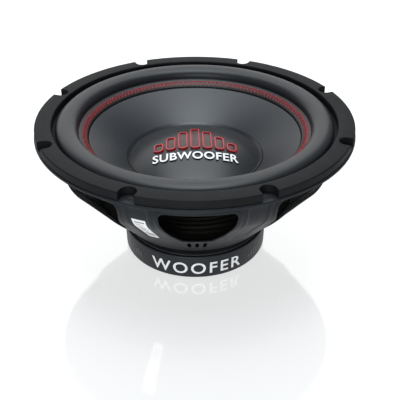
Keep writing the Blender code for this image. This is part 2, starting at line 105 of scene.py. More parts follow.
# Flange, with its lip and holes
FLANGE_R = 158.3
FLANGE_TOP = 138.7
FLANGE_SHEET = 1.5
FLANGE_UNDER = FLANGE_TOP - FLANGE_SHEET
LIP_BOTTOM = 136.1
LIP_INNER_R = 155.7
SCREW_R = 150.8
SCREW_HOLE_R = 3.2

# Motor, voice coil and boot
BOOT_R = 75.7
BOOT_FOOT_R = 75.0
BOOT_TOP = 27.2
BOOT_BORE_R = 50.0
BOOT_SHEET = 2.5
BOOT_FLOOR = 1.7
BOOT_ROUNDING = 3.0
MAGNET_R = 72.6
PLATE_R = 66.0
PLATE_TOP = 36.2
RIVETS = 4
RIVET_CIRCLE_R = 52.0
RIVET_HOLE_R = 2.9
COIL_RUN = (23.5, 41.0)
COIL_TURNS = 28
COIL_LAYER = 0.9

# Terminals and leads
TERMINAL_DEG = {"left": -157.5, "right": 157.5}
TERMINAL_Z = 80.0
TERMINAL_APERTURE = (26.0, 8.0)
EAR_X = 17.3
EAR_HOLE_R = 1.9
BUTTON_X = {"red": -8.2, "black": 8.2}
HOUSING_FRONT = 14.8
SPRING_R = 2.4
SPRING_TURNS = 4
LEAD_START_R = 90.0
LEAD_ROUTE = ((88.0, 80.5), (72.0, 77.0), (56.0, 79.5), (42.0, 80.5), (34.5, 76.8))
STRANDS = 4
STRAND_R = 0.42
LAY_R = 0.45
LAY_LENGTH = 5.5

# Gasket and surround
GLUE_GAP = 0.3
GASKET_R = 157.2
GASKET_TOP = 147.0
GASKET_BORE_R = 141.0
GASKET_STEP_R = 143.8
NOTCH_R = 7.4
NOTCH_CENTRE_R = 151.8
FOAM = 0.8
LAND_R = 143.5
LIP_R = 106.8
ROLL_R = 126.7
ROLL_HALF_WIDTH = 10.8
ROLL_HEIGHT = 8.4
ROLL_BASE = (139.8, 136.3)
ROLL_SQUARENESS = (0.92, 0.77)
STITCHES = 154
STITCH_ROW_R = (111.9, 108.3)

# Cone and cap: the cap's seat is the (radius, height) of its edge on the cone
NECK_R = 26.1
CONE_EDGE_R = 113.5
CONE_SHEET = 1.4
CONE_SLOPE = 0.688
CAP_SEAT = (69.3, 104.0)
CAP_EDGE_R = 66.3
CAP_RISE = 15.0
CAP_SHEET = 1.2
BAR_HEIGHTS = (15.0, 25.0, 36.0, 45.0, 36.0, 25.0, 15.0)
BAR_PITCH = 12.3
BAR_WIDTH = 10.0
BAR_CORNER = 3.9
BAR_FOOT_Y = -15.5
WORD_FOOT_Y = -32.3

# Look: a bump's depth is in metres
GRAIN_DEPTH = 0.0002
LIGHT_COLOUR = (0.90, 0.96, 1.0)

rng = random.Random(12)


# -------- materials


def node_of(tree, kind, **values):
    node = tree.nodes.new(kind)
    for key, value in values.items():
        setattr(node, key, value)
    return node


def finish_of(
    name,
    colour,
    roughness,
    metallic=0.0,
    vary=0.12,
    patch=30.0,
    grain=900.0,
    bump=0.1,
    rough_vary=0.06,
    wear=0.0,
    weave=0.0,
    gloss=0.5,
):
    """Procedural finish: drifting colour, grain in roughness and height, lighter worn edges."""
    material = bpy.data.materials.new(name)
    material.use_nodes = True
    tree = material.node_tree
    shader = tree.nodes["Principled BSDF"]
    shader.inputs["Metallic"].default_value = metallic
    shader.inputs["Specular IOR Level"].default_value = gloss
    place = node_of(tree, "ShaderNodeTexCoord").outputs["Object"]
    drift = node_of(tree, "ShaderNodeTexNoise")
    drift.inputs["Scale"].default_value = patch
    drift.inputs["Detail"].default_value = 6.0
    fine = node_of(tree, "ShaderNodeTexNoise")
    fine.inputs["Scale"].default_value = grain
    fine.inputs["Detail"].default_value = 4.0
    tree.links.new(place, drift.inputs["Vector"])
    tree.links.new(place, fine.inputs["Vector"])
    ramp = node_of(tree, "ShaderNodeValToRGB")
    ramp.color_ramp.elements[0].position = 0.3
    ramp.color_ramp.elements[1].position = 0.7
    ramp.color_ramp.elements[0].color = (*[c * (1 - vary) for c in colour], 1)
    ramp.color_ramp.elements[1].color = (*[min(1, c * (1 + vary)) for c in colour], 1)
    tree.links.new(drift.outputs["Fac"], ramp.inputs["Fac"])
    base = ramp.outputs["Color"]
    if wear:
        edge = node_of(tree, "ShaderNodeNewGeometry").outputs["Pointiness"]
        mask = node_of(tree, "ShaderNodeMapRange")
        mask.inputs["From Min"].default_value = 0.53
        mask.inputs["From Max"].default_value = 0.62
        mask.inputs["To Max"].default_value = wear
        tree.links.new(edge, mask.inputs["Value"])
        mix = node_of(tree, "ShaderNodeMix", data_type="RGBA")
        mix.inputs["B"].default_value = (*[min(1, c * 3 + 0.05) for c in colour], 1)
        tree.links.new(mask.outputs["Result"], mix.inputs["Factor"])
        tree.links.new(base, mix.inputs["A"])
        base = mix.outputs["Result"]
    tree.links.new(base, shader.inputs["Base Color"])
    spread = node_of(tree, "ShaderNodeMapRange")
    spread.inputs["To Min"].default_value = max(0.02, roughness - rough_vary)
    spread.inputs["To Max"].default_value = min(1.0, roughness + rough_vary)
    tree.links.new(fine.outputs["Fac"], spread.inputs["Value"])
    tree.links.new(spread.outputs["Result"], shader.inputs["Roughness"])
    height = fine.outputs["Fac"]
    if weave:
        across = node_of(tree, "ShaderNodeTexWave", bands_direction="X")
        along = node_of(tree, "ShaderNodeTexWave", bands_direction="Y")
        for wave in (across, along):
            wave.inputs["Scale"].default_value = weave
            wave.inputs["Distortion"].default_value = 1.5
            tree.links.new(place, wave.inputs["Vector"])
        both = node_of(tree, "ShaderNodeMath", operation="MAXIMUM")
        tree.links.new(across.outputs["Fac"], both.inputs[0])
        tree.links.new(along.outputs["Fac"], both.inputs[1])
        height = both.outputs["Value"]
    relief = node_of(tree, "ShaderNodeBump")
    relief.inputs["Strength"].default_value = bump
    relief.inputs["Distance"].default_value = GRAIN_DEPTH
    tree.links.new(height, relief.inputs["Height"])
    tree.links.new(relief.outputs["Normal"], shader.inputs["Normal"])
    return material


PAINT = finish_of(
    "basket_enamel", (0.0130, 0.0148, 0.0174), 0.42,
    vary=0.1, patch=22, grain=420, bump=0.12, wear=0.15, gloss=0.14,
)
GASKET = finish_of(
    "gasket_foam_skin", (0.0048, 0.0050, 0.0054), 0.62,
    vary=0.25, patch=60, grain=2600, bump=0.5, gloss=0.15,
)
ROLL = finish_of(
    "surround_skin", (0.0092, 0.0102, 0.0122), 0.42,
    vary=0.12, patch=25, grain=1500, bump=0.12, gloss=0.38,
)
PULP = finish_of(
    "cone_coating", (0.0074, 0.0102, 0.0142), 0.40, vary=0.14, patch=18, grain=700, bump=0.10, gloss=0.45
)
CAP = finish_of(
    "cap_moulding", (0.0090, 0.0106, 0.0130), 0.33, vary=0.10, patch=20, grain=1200, bump=0.06, gloss=0.45
)
STEEL = finish_of(
    "motor_plate", (0.03, 0.03, 0.031), 0.38,
    metallic=0.6, vary=0.2, patch=40, grain=900, bump=0.2, wear=0.5,
)
FERRITE = finish_of(
    "ferrite_block", (0.03, 0.03, 0.032), 0.6,
    metallic=0.1, vary=0.25, patch=60, grain=1400, bump=0.4, wear=0.3,
)
RUBBER = finish_of(
    "boot_skin", (0.0080, 0.0106, 0.0138), 0.46, vary=0.15, patch=30, grain=1800, bump=0.25, gloss=0.35
)
ZINC = finish_of(
    "bright_zinc", (0.62, 0.62, 0.60), 0.3,
    metallic=1.0, vary=0.15, patch=120, grain=1600, bump=0.15, rough_vary=0.1,
)
VINYL = finish_of("label_vinyl_sheet", (0.78, 0.78, 0.79), 0.35, vary=0.04, patch=80, grain=1500, bump=0.05)
PRINT_GREY = finish_of("label_grey_ink", (0.16, 0.16, 0.17), 0.5, vary=0.2, patch=300, grain=2000)
FORMER = finish_of(
    "former_foil", (0.60, 0.60, 0.61), 0.35, metallic=1.0, vary=0.1, patch=60, grain=900, bump=0.1
)
COPPER = finish_of(
    "winding_wire", (0.62, 0.26, 0.12), 0.32, metallic=1.0, vary=0.15, patch=90, grain=1500, bump=0.1
)
CLOTH = finish_of(
    "spider_weave", (0.016, 0.014, 0.011), 0.85, vary=0.2, patch=40, weave=420.0, bump=0.6, gloss=0.2
)
RED = finish_of("red_plastic_skin", (0.50, 0.02, 0.02), 0.36, vary=0.08, patch=80, grain=900, bump=0.06)
BLACK = finish_of(
    "black_plastic_skin", (0.012, 0.012, 0.0125), 0.42, vary=0.15, patch=80, grain=1100, bump=0.12
)
BRAID = finish_of(
    "lead_tinsel", (0.42, 0.27, 0.16), 0.45, metallic=0.8, vary=0.3, patch=300, grain=2500, bump=0.5
)
THREAD = finish_of(
    "stitch_red_thread", (0.36, 0.016, 0.022), 0.6, vary=0.2, patch=300, grain=3000, bump=0.4
)
THREAD_DIM = finish_of(
    "stitch_back_thread", (0.16, 0.04, 0.028), 0.7, vary=0.25, patch=300, grain=3000, bump=0.4
)
WHITE = finish_of("white_enamel", (0.82, 0.82, 0.82), 0.35, vary=0.03, patch=90, grain=1200, bump=0.04)
EMBLEM_RED = finish_of(
    "emblem_red_enamel", (0.42, 0.016, 0.020), 0.3, vary=0.08, patch=90, grain=900, bump=0.05
)
EMBLEM_FIELD = finish_of(
    "emblem_field", (0.030, 0.010, 0.010), 0.3, vary=0.15, patch=90, grain=900, bump=0.08
)
PRINT_FAINT = finish_of(
    "boot_faint_ink", (0.05, 0.052, 0.055), 0.5, vary=0.15, patch=200, grain=1800, bump=0.1
)
# Near-black: the cap's glue seam, and painted shade in the surround's groove, along its lip edge and on the
# sides of the cap's letters.
ADHESIVE_AND_PAINTED_SHADE = finish_of(
    "dark_adhesive_and_painted_shade", (0.003, 0.003, 0.003), 0.6, vary=0.3, patch=200, grain=500, bump=0.3, gloss=0.1
)


# -------- mesh helpers


def make_piece(name, points, faces, materials, angle=35.0, indices=None):
    """Mesh object from millimetre points, with coincident points merged and faces turned outwards."""
    mesh = bpy.data.meshes.new(name)
    mesh.from_pydata([tuple(p) for p in points], [], faces)
    for material in materials:
        mesh.materials.append(material)
    if indices is not None:
        mesh.polygons.foreach_set("material_index", indices)
    return settle(name, mesh, angle)


def settle(name, mesh, angle):
    bm = bmesh.new()
    bm.from_mesh(mesh)
    bmesh.ops.remove_doubles(bm, verts=bm.verts, dist=1e-3)
    bmesh.ops.dissolve_degenerate(bm, edges=bm.edges, dist=1e-4)
    bmesh.ops.recalc_face_normals(bm, faces=bm.faces)
    bmesh.ops.scale(bm, vec=(MM, MM, MM), verts=bm.verts)
    bm.to_mesh(mesh)
    bm.free()
    mesh.shade_smooth()
    mesh.set_sharp_from_angle(angle=math.radians(angle))
    piece = bpy.data.objects.new(name, mesh)
    bpy.context.scene.collection.objects.link(piece)
    return piece


def rounded(corners, steps=6):
    """Closed outline from (x, y, radius) corners, each with an arc of that radius."""
    line = []
    count = len(corners)
    for i, (x, y, radius) in enumerate(corners):
        here = Vector((x, y))
        before = Vector(corners[i - 1][:2]) - here
        after = Vector(corners[(i + 1) % count][:2]) - here
        if radius <= 0:
            line.append((x, y))
            continue
        before.normalize()
        after.normalize()
        half = before.angle(after) / 2
        reach = radius / math.tan(half)
        centre = here + (before + after).normalized() * (radius / math.sin(half))
        start = here + before * reach - centre
        end = here + after * reach - centre
        sweep = start.angle_signed(end)
        for k in range(steps + 1):
            turn = -sweep * k / steps
            c, s = math.cos(turn), math.sin(turn)
            line.append((centre.x + start.x * c - start.y * s, centre.y + start.x * s + start.y * c))
    return line


def turned_points(radius, azimuth, height):
    return (radius * math.sin(azimuth), -radius * math.cos(azimuth), height)


def lathe(name, outline, material, steps=STEPS, angle=35.0):
    """Closed (radius, height) outline turned about Z."""
    points, faces = [], []
    count = len(outline)
    for i in range(steps):
        azimuth = 2 * math.pi * i / steps
        points += [turned_points(r, azimuth, z) for r, z in outline]
    for i in range(steps):
        here, there = i * count, (i + 1) % steps * count
        for k in range(count):
            after = (k + 1) % count
            faces.append((here + k, there + k, there + after, here + after))
    return make_piece(name, points, faces, [material], angle)


def prism(bm, outline, low, high, place):
    base = [bm.verts.new(place @ Vector((x, y, low))) for x, y in outline]
    top = [bm.verts.new(place @ Vector((x, y, high))) for x, y in outline]
    bm.faces.new(list(reversed(base)))
    bm.faces.new(top)
    for i in range(len(outline)):
        after = (i + 1) % len(outline)
        bm.faces.new((base[i], base[after], top[after], top[i]))


def circle(radius, steps=32, centre=(0.0, 0.0)):
    turns = [2 * math.pi * i / steps for i in range(steps)]
    return [(centre[0] + radius * math.cos(a), centre[1] + radius * math.sin(a)) for a in turns]


def rounded_box(width, height, radius, centre=(0.0, 0.0), steps=6):
    x, y = width / 2, height / 2
    corners = [(x, -y, radius), (x, y, radius), (-x, y, radius), (-x, -y, radius)]
    return [(px + centre[0], py + centre[1]) for px, py in rounded(corners, steps)]


def piece_from(bm, name, *materials):
    mesh = bpy.data.meshes.new(name)
    bm.to_mesh(mesh)
    bm.free()
    for material in materials:
        mesh.materials.append(material)
    return settle(name, mesh, 35.0)


def combine(piece, tool, operation="DIFFERENCE"):
    """Applies one exact Boolean and removes its tool."""
    modifier = piece.modifiers.new("combine", "BOOLEAN")
    modifier.operation = operation
    modifier.solver = "EXACT"
    modifier.object = tool
    apply_modifiers(piece)
    bpy.data.objects.remove(tool, do_unlink=True)


def apply_modifiers(piece):
    bpy.context.view_layer.update()
    graph = bpy.context.evaluated_depsgraph_get()
    mesh = bpy.data.meshes.new_from_object(piece.evaluated_get(graph))
    piece.modifiers.clear()
    piece.data = mesh
    mesh.shade_smooth()
    mesh.set_sharp_from_angle(angle=math.radians(35))


def soften(piece, width, angle=30.0, segments=2):
    """Rounds the sharp edges of a piece by a millimetre width."""
    weld = piece.modifiers.new("weld", "WELD")
    weld.merge_threshold = 1e-5
    bevel = piece.modifiers.new("soften", "BEVEL")
    bevel.width = width * MM
    bevel.segments = segments
    bevel.limit_method = "ANGLE"
    bevel.angle_limit = math.radians(angle)
    bevel.harden_normals = False


def at_azimuth(degrees):
    return Matrix.Rotation(math.radians(degrees), 4, "Z")


UPRIGHT = Matrix(((1, 0, 0, 0), (0, 0, -1, 0), (0, 1, 0, 0), (0, 0, 0, 1)))


def smooth_step(t):
    t = min(1.0, max(0.0, t))
    return t * t * (3 - 2 * t)


def add_quads(faces, first, rings, count, closed, flip):
    """Faces between successive rings of count points, of which the first point is numbered first."""
    for i in range(rings - 1):
        for k in range(count if closed else count - 1):
            a, b = first + i * count + k, first + i * count + (k + 1) % count
            c, d = b + count, a + count
            faces.append((a, d, c, b) if flip else (a, b, c, d))


def carried(path):
    """Each point of a path, with two directions square to it that don't twist along the way."""
    side = None
    for i, here in enumerate(path):
        along = (path[min(i + 1, len(path) - 1)] - path[max(i - 1, 0)]).normalized()
        if side is None:
            side = along.orthogonal().normalized()
        side = (side - along * side.dot(along)).normalized()
        yield here, side, along.cross(side)


def tube_mesh(paths, radius, sides):
    """Points and faces of round, capped tubes along lists of vectors."""
    points, faces = [], []
    for path in paths:
        first = len(points)
        for here, side, other in carried(path):
            for k in range(sides):
                a = 2 * math.pi * k / sides
                points.append(here + side * (radius * math.cos(a)) + other * (radius * math.sin(a)))
        add_quads(faces, first, len(path), sides, True, False)
        faces.append(tuple(first + k for k in reversed(range(sides))))
        faces.append(tuple(len(points) - sides + k for k in range(sides)))
    return points, faces


# -------- basket


def wall_at(run, offset=0.0):
    """(radius, height) on the wall's outside at a distance up it, moved outwards by offset."""
    if run <= CONE_RUN:
        a = LEAN
        r = BASE_R + run * math.sin(LEAN)
        z = BASE_Z + run * math.cos(LEAN)
    elif run <= CONE_RUN + ARC_RUN:
        a = LEAN - (run - CONE_RUN) / BOWL_RADIUS
        r = WALL_R - BOWL_RADIUS + BOWL_RADIUS * math.cos(a)
        z = BEND_Z - BOWL_RADIUS * math.sin(a)
    else:
        a = 0.0
        r = WALL_R
        z = BEND_Z + run - CONE_RUN - ARC_RUN
    return r + offset * math.cos(a), z - offset * math.sin(a)


def run_at(z):
    """Distance up the wall of a height."""
    low, high = 0.0, CONE_RUN + ARC_RUN + 20
    for _ in range(40):
        middle = (low + high) / 2
        if wall_at(middle)[1] < z:
            low = middle
        else:
            high = middle
    return low


def on_wall(azimuth, run, offset):
    r, z = wall_at(run, offset)
    return turned_points(r, azimuth, z)


def window_edge():
    """Dense closed outline of one window as (across, run) points, counter-clockwise."""
    corners = [*WINDOW_RIGHT, *[(-x, z, radius) for x, z, radius in reversed(WINDOW_RIGHT)]]
    line = rounded(corners, 10)
    dense = []
    for (x0, z0), (x1, z1) in zip(line, line[1:] + line[:1]):
        pieces = max(1, int(math.hypot(x1 - x0, z1 - z0) / 0.5))
        dense += [(x0 + (x1 - x0) * k / pieces, z0 + (z1 - z0) * k / pieces) for k in range(pieces)]
    return np.array([(x, run_at(z)) for x, z in dense])


def sector_border(rows, turns):
    """Points round one window's patch as (azimuth, run): up its right side, over, down and back."""
    low, high = rows[0], rows[-1]
    border = [(WINDOW_SIDE, run) for run in rows]
    border += [(a, high) for a in reversed(turns[1:-1])]
    border += [(-WINDOW_SIDE, run) for run in reversed(rows)]
    border += [(a, low) for a in turns[1:-1]]
    return border


def window_rays(border):
    """For each border point: where its ray meets the window's edge, and the edge's outward normal."""
    edge = window_edge()
    centre = np.array([0.0, run_at(WINDOW_MIDDLE_Z)])
    angles = np.arctan2(edge[:, 1] - centre[1], edge[:, 0])
    order = np.argsort(angles)
    tangent = np.roll(edge, -3, 0) - np.roll(edge, 3, 0)
    normal = np.stack([tangent[:, 1], -tangent[:, 0]], 1)
    normal /= np.linalg.norm(normal, axis=1)[:, None]
    flip = np.sign((normal * (edge - centre)).sum(1))
    normal *= flip[:, None]
    rays = []
    for azimuth, run in border:
        r = wall_at(run)[0]
        target = np.array([r * math.sin(azimuth), run])
        angle = math.atan2(target[1] - centre[1], target[0])
        values = [
            np.interp(angle, angles[order], source[order], period=2 * math.pi)
            for source in (edge[:, 0], edge[:, 1], normal[:, 0], normal[:, 1])
        ]
        rays.append((target, np.array(values[:2]), np.array(values[2:])))
    return rays


RIM_RINGS = (0.0, 0.4, 0.9, 1.6, 2.4, 3.1, 3.7, 4.3, 4.8, RIM_WIDTH)
FILL_RINGS = 7


def rim_height(distance):
    return RIM_HEIGHT * (1 - smooth_step((distance - RIM_CREST) / (RIM_WIDTH - RIM_CREST)))


def panel_height(azimuth, run):
    side = 1 - smooth_step((abs(azimuth) - PANEL_HALF) / PANEL_SLOPE + 0.5)
    low = smooth_step((run - PANEL_RUN[0]) / PANEL_FADE)
    high = 1 - smooth_step((run - PANEL_RUN[1] + PANEL_FADE) / PANEL_FADE)
    return -PANEL_DEPTH * side * low * high


def add_window_patch(points, faces, middle, rays):
    """Wall round one window, outside and inside, with its raised rim and the cut edge."""
    starts = []
    for inside in (False, True):
        starts.append(len(points))
        depth = SHEET if inside else 0.0
        for distance in RIM_RINGS:
            lift = rim_height(distance) - depth
            if distance == 0.0:
                lift += EDGE_EASE if inside else -EDGE_EASE
            for _, edge, normal in rays:
                x, run = edge + normal * distance
                points.append(on_wall(middle + math.asin(x / wall_at(run)[0]), run, lift))
        for ring in range(1, FILL_RINGS + 1):
            share = ring / FILL_RINGS
            for target, edge, normal in rays:
                x, run = (edge + normal * RIM_WIDTH) * (1 - share) + target * share
                points.append(on_wall(middle + math.asin(x / wall_at(run)[0]), run, -depth))
        add_quads(faces, starts[-1], len(RIM_RINGS) + FILL_RINGS, len(rays), True, inside)
    outside, inside = starts
    for k in range(len(rays)):
        after = (k + 1) % len(rays)
        faces.append((outside + k, inside + k, inside + after, outside + after))


def add_spoke_patch(points, faces, spoke, rows, columns):
    """Wall of one spoke, outside and inside, with its sunken panel unless a terminal sits there."""
    flat = any(abs(math.degrees(spoke) % 360 - degrees % 360) < 1 for degrees in TERMINAL_DEG.values())
    for inside in (False, True):
        first = len(points)
        for run in rows:
            for column in columns:
                lift = (0.0 if flat else panel_height(column, run)) - (SHEET if inside else 0.0)
                points.append(on_wall(spoke + column, run, lift))
        add_quads(faces, first, len(rows), len(columns), False, inside)


def upper_profile():
    """Wall above the windows, flange and lip, from the outside over to the inside."""
    bend = [(WALL_R, 131.0, 0), (WALL_R, FLANGE_UNDER, 3.0), (150.0, FLANGE_UNDER, 0)]
    lip = [(LIP_INNER_R, FLANGE_UNDER, 0.6), (LIP_INNER_R, LIP_BOTTOM, 0.3)]
    lip += [(FLANGE_R, LIP_BOTTOM, 0.5), (FLANGE_R, FLANGE_TOP, 1.1)]
    shoulder = [(146.0, FLANGE_TOP, 0), (WALL_R - SHEET, FLANGE_TOP, 4.0), (WALL_R - SHEET, 128.0, 0)]
    line = [wall_at(PATCH_RUN[1]), (WALL_R, 130.0), (WALL_R, 133.0), *rounded(bend, 8)[1:-1]]
    line += [(148.0, FLANGE_UNDER), (154.2, FLANGE_UNDER)]
    line += rounded([(150.0, FLANGE_UNDER, 0), *lip, (150.0, FLANGE_TOP, 0)], 5)[1:-1]
    line += [(152.0, FLANGE_TOP), (146.0, FLANGE_TOP), *rounded(shoulder, 8)[1:-1]]
    return [*line, (WALL_R - SHEET, 131.0), wall_at(PATCH_RUN[1], -SHEET)]


def lower_profile():
    """Wall below the windows, heel and floor with its bore, from the outside over to the inside."""
    top = BASE_Z + SHEET
    runs = (36.0, 30.0, 24.0, 18.0, 12.0, 7.0)
    heel = [(*wall_at(12.0), 0), (BASE_R + 0.3, BASE_Z, 3.0), (60.0, BASE_Z, 0)]
    bore = [(45.0, BASE_Z, 0), (FLOOR_BORE_R, BASE_Z, 0.5), (FLOOR_BORE_R, top, 0.5), (45.0, top, 0)]
    corner = [(60.0, top, 0), (BASE_R - 0.7, top, 2.2), (*wall_at(14.0, -SHEET), 0)]
    line = [*[wall_at(run) for run in runs], *rounded(heel, 8)[1:-1]]
    line += [(70.0, BASE_Z), (56.0, BASE_Z), (45.0, BASE_Z), *rounded(bore, 4)[1:-1]]
    line += [(45.0, top), (56.0, top), (70.0, top), *rounded(corner, 8)[1:-1]]
    return line + [wall_at(run, -SHEET) for run in reversed(runs)]


def basket_shell():
    rows = list(np.linspace(*PATCH_RUN, 52))
    turns = list(np.linspace(-WINDOW_SIDE, WINDOW_SIDE, 25))
    half = SECTOR / 2 - WINDOW_SIDE
    columns = [half * t for t in (-1, -0.93, -0.88, -0.84, -0.80, -0.76, -0.72, -0.67, -0.4, 0)]
    columns += [-c for c in reversed(columns[:-1])]
    rays = window_rays(sector_border(rows, turns))
    points, faces, azimuths = [], [], []
    for sector in range(SECTORS):
        middle, spoke = SECTOR * sector, SECTOR * (sector + 0.5)
        add_window_patch(points, faces, middle, rays)
        add_spoke_patch(points, faces, spoke, rows, columns)
        azimuths += [middle + a for a in turns[:-1]]
        azimuths += [spoke + c for c in columns[:-1]]
    for profile in (upper_profile(), lower_profile()):
        first = len(points)
        count = len(profile)
        for azimuth in azimuths:
            points += [turned_points(r, azimuth, z) for r, z in profile]
        for i in range(len(azimuths)):
            here, there = first + i * count, first + (i + 1) % len(azimuths) * count
            for k in range(count - 1):
                faces.append((here + k, there + k, there + k + 1, here + k + 1))
    return make_piece("basket_shell", points, faces, [PAINT], 40.0)


def terminal_place(side):
    """Frame on the outside of a terminal's spoke: X round the driver, Y up the spoke, Z out of it."""
    r, z = wall_at((TERMINAL_Z - BASE_Z) / math.cos(LEAN))
    place = Matrix.Translation(Vector((0, -r, z)))
    return at_azimuth(TERMINAL_DEG[side]) @ place @ UPRIGHT @ Matrix.Rotation(LEAN, 4, "X")


def rivet_holes(bm, low, high):
    """Cutters for the four rivets that hold the basket's floor to the top plate."""
    for i in range(RIVETS):
        place = at_azimuth(45.0 + 360.0 / RIVETS * i)
        prism(bm, circle(RIVET_HOLE_R, 24, (0.0, -RIVET_CIRCLE_R)), low, high, place)


def build_basket():
    shell = basket_shell()
    holes = bmesh.new()
    slot = rounded_box(VENT_WIDTH, VENT_Z[1] - VENT_Z[0], 1.0, (0, (VENT_Z[0] + VENT_Z[1]) / 2), 3)
    screw_hole = circle(SCREW_HOLE_R, 24, (0.0, -SCREW_R))
    for i in range(SECTORS):
        degrees = SECTOR_DEG * i
        for side in (-1, 0, 1):
            prism(holes, slot, 82.0, 108.0, at_azimuth(degrees + VENT_PITCH_DEG * side) @ UPRIGHT)
        prism(holes, screw_hole, 134.0, 142.0, at_azimuth(degrees + SECTOR_DEG / 2))
    rivet_holes(holes, 33.0, 42.0)
    for side in TERMINAL_DEG:
        place = terminal_place(side)
        prism(holes, rounded_box(*TERMINAL_APERTURE, 1.5), -5.5, 5.5, place)
        for x in (-EAR_X, EAR_X):
            prism(holes, circle(EAR_HOLE_R, 16, (x, 0.0)), -5.5, 5.5, place)
    combine(shell, piece_from(holes, "hole_tool"))
    ring = [(LEDGE_R[0], LEDGE_Z[1], 0.4), (LEDGE_R[0], LEDGE_Z[0], 0.4)]
    ring += [(LEDGE_R[1] - 1.3, LEDGE_Z[0], 0), (LEDGE_R[1], LEDGE_Z[1], 0)]
    combine(shell, lathe("ledge_tool", rounded(ring, 3), PAINT, 288), "UNION")
    shell.name = "basket_pressing"
    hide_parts("basket")
    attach(shell, "frame")


build_basket()


# -------- gasket


def build_gasket():
    low = FLANGE_TOP + GLUE_GAP
    corners = [
        (GASKET_R, low, 0.4),
        (GASKET_R, GASKET_TOP, 1.3),
        (GASKET_BORE_R, GASKET_TOP, 1.2),
        (GASKET_BORE_R, low + 1.1, 0.3),
        (GASKET_STEP_R, low + 1.1, 0),
        (GASKET_STEP_R, low, 0.2),
    ]
    gasket = lathe("gasket_ring", rounded(corners, 5), GASKET, FINE_STEPS)
    tool = bmesh.new()
    turns = [math.pi * i / 24 for i in range(25)]
    arc = [(NOTCH_R * math.cos(a), NOTCH_R * math.sin(a) - NOTCH_CENTRE_R) for a in turns]
    notch = [(NOTCH_R, -161.0), *arc, (-NOTCH_R, -161.0)]
    for i in range(SECTORS):
        prism(tool, notch, 133.0, 152.0, at_azimuth(SECTOR_DEG * (i + 0.5)))
    combine(gasket, piece_from(tool, "notch_tool"))
    soften(gasket, 0.7, 38.0, 3)
    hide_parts("mounting_gasket")
    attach(gasket, "frame")


build_gasket()


# -------- moving pieces


def cone_top(r, lift=0.0):
    """Height of the cone's upper face at a radius, with a lift above it."""
    return CAP_SEAT[1] + CONE_SLOPE * (r - CAP_SEAT[0]) + lift


def bend_with_cone(piece):
    """Bakes the piece's transform into its mesh."""
    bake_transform(piece)


def build_dark_bead(name, edge, steps):
    """Near-black bead on the cone from (radius, lift) points; it draws the cap's glue seam and, at the
    surround's lip edge, painted shade.
    """
    bead = lathe(name, [(r, cone_top(r, lift)) for r, lift in edge], ADHESIVE_AND_PAINTED_SHADE, steps, 80.0)
    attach(bead, "cone_assembly")


def build_surround():
    steps = 40

    def roll(offset):
        line = []
        for i in range(steps + 1):
            a = math.pi * i / steps
            power = ROLL_SQUARENESS[0 if math.cos(a) > 0 else 1]
            across = math.copysign(abs(math.cos(a)) ** power, math.cos(a))
            rise = abs(math.sin(a)) ** power
            base = ROLL_BASE[0] + (ROLL_BASE[1] - ROLL_BASE[0]) * i / steps
            reach = (ROLL_HALF_WIDTH + offset) * across
            line.append((ROLL_R + reach, base + (ROLL_HEIGHT + offset) * rise))
        return line

    low = FLANGE_TOP + GLUE_GAP
    over = roll(FOAM / 2)
    under = roll(-FOAM / 2)
    foot_r = over[-1][0]
    outline = [(LAND_R, low), (LAND_R, low + FOAM), *over]
    outline += [(r, cone_top(r, GLUE_GAP + FOAM)) for r in (foot_r - 1.6, 110.0, LIP_R + 0.5)]
    outline += [(LIP_R, cone_top(LIP_R, 0.75)), (LIP_R, cone_top(LIP_R, GLUE_GAP))]
    outline += [(114.4, cone_top(114.4, GLUE_GAP)), *reversed(under[:-1])]
    outline += [(under[0][0] + 0.4, low)]
    surround = lathe("surround_roll", outline, ROLL, FINE_STEPS, 50.0)
    # Faces outside the roll, on the land down in the groove under the gasket, get the near-black material:
    # painted shade.
    surround.data.materials.append(ADHESIVE_AND_PAINTED_SHADE)
    for face in surround.data.polygons:
        if math.hypot(*face.center[:2]) > over[0][0] * MM:
            face.material_index = 1
    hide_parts("surround")
    bend_with_cone(surround)
    # Near-black bead along the inner edge of the glued lip: painted shade in the gap under the lip's edge.
    edge = ((105.9, -0.05), (106.0, 0.35), (106.7, 0.75), (107.1, 0.8), (107.1, -0.05))
    build_dark_bead("surround_lip_painted_shade", edge, FINE_STEPS)


def build_cone():
    corners = [
        (NECK_R, 70.5, 0.2),
        (27.3, 70.5, 0.4),
        (28.8, cone_top(28.8, -CONE_SHEET), 3.0),
        (CONE_EDGE_R, cone_top(CONE_EDGE_R, -CONE_SHEET), 0.5),
        (CONE_EDGE_R, cone_top(CONE_EDGE_R), 0.5),
        (NECK_R, cone_top(NECK_R), 0.4),
    ]
    cone = lathe("cone_body", rounded(corners, 4), PULP, FINE_STEPS)
    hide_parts("cone")
    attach(cone, "cone_assembly")


def dome_z(r):
    """Height of the dust cap's outer face at a radius."""
    edge = cone_top(CAP_EDGE_R, 0.9)
    ball = (CAP_EDGE_R**2 + CAP_RISE**2) / (2 * CAP_RISE)
    return edge + CAP_RISE - ball + math.sqrt(ball * ball - r * r)


def build_dust_cap():
    rings = [CAP_EDGE_R * (1 - i / 20) for i in range(21)]
    over = [(r, dome_z(r)) for r in rings]
    under = [(r, dome_z(r) - CAP_SHEET) for r in reversed(rings[1:])]
    seat_r, lip = CAP_SEAT[0], CAP_SEAT[1] + GLUE_GAP
    outline = [(seat_r, lip), (seat_r, lip + 0.45), (seat_r - 0.3, lip + 0.62)]
    outline += [(67.6, cone_top(67.6, 0.98)), (66.6, cone_top(66.6, 1.0)), *over, *under]
    outline += [(63.3, cone_top(63.3, GLUE_GAP))]
    cap = lathe("cap_dome", outline, CAP, STEPS, 24.0)
    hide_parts("dust_cap")
    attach(cap, "cone_assembly")
    seam = ((69.9, -0.05), (69.8, 0.15), (69.5, 0.24), (69.0, 0.2), (69.0, -0.05))
    build_dark_bead("cap_glue_line", seam, STEPS)


